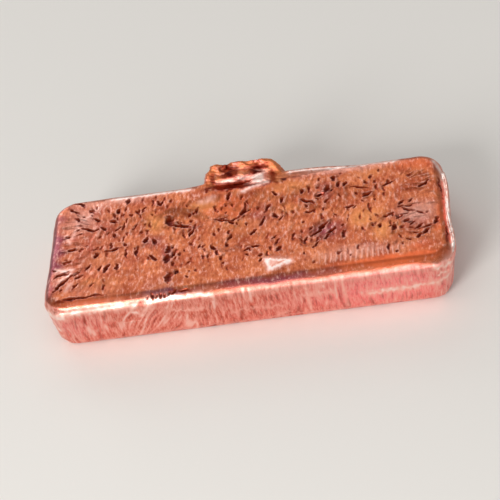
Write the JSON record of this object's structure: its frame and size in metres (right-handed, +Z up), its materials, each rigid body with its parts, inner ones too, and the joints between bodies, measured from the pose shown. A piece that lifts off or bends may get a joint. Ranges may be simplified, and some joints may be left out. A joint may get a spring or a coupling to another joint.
{
  "type": "copper ingot",
  "caption": "Small open-mould cast metal bar with tapered walls, a rolled rim, a dished pitted top and a torn pour lip.",
  "frame": {"origin": "centre of the flat base that the bar rests on", "axes": "+X along the bar towards the end with the fin, +Y towards the edge with the torn lip, +Z up from the base to the open-cast top"},
  "size_m": [0.1197, 0.0528, 0.0216],
  "materials": {
    "cast_copper": "satin"
  },
  "bodies": {
    "root": {"ingot": "cast_copper"}
  },
  "joints": []
}
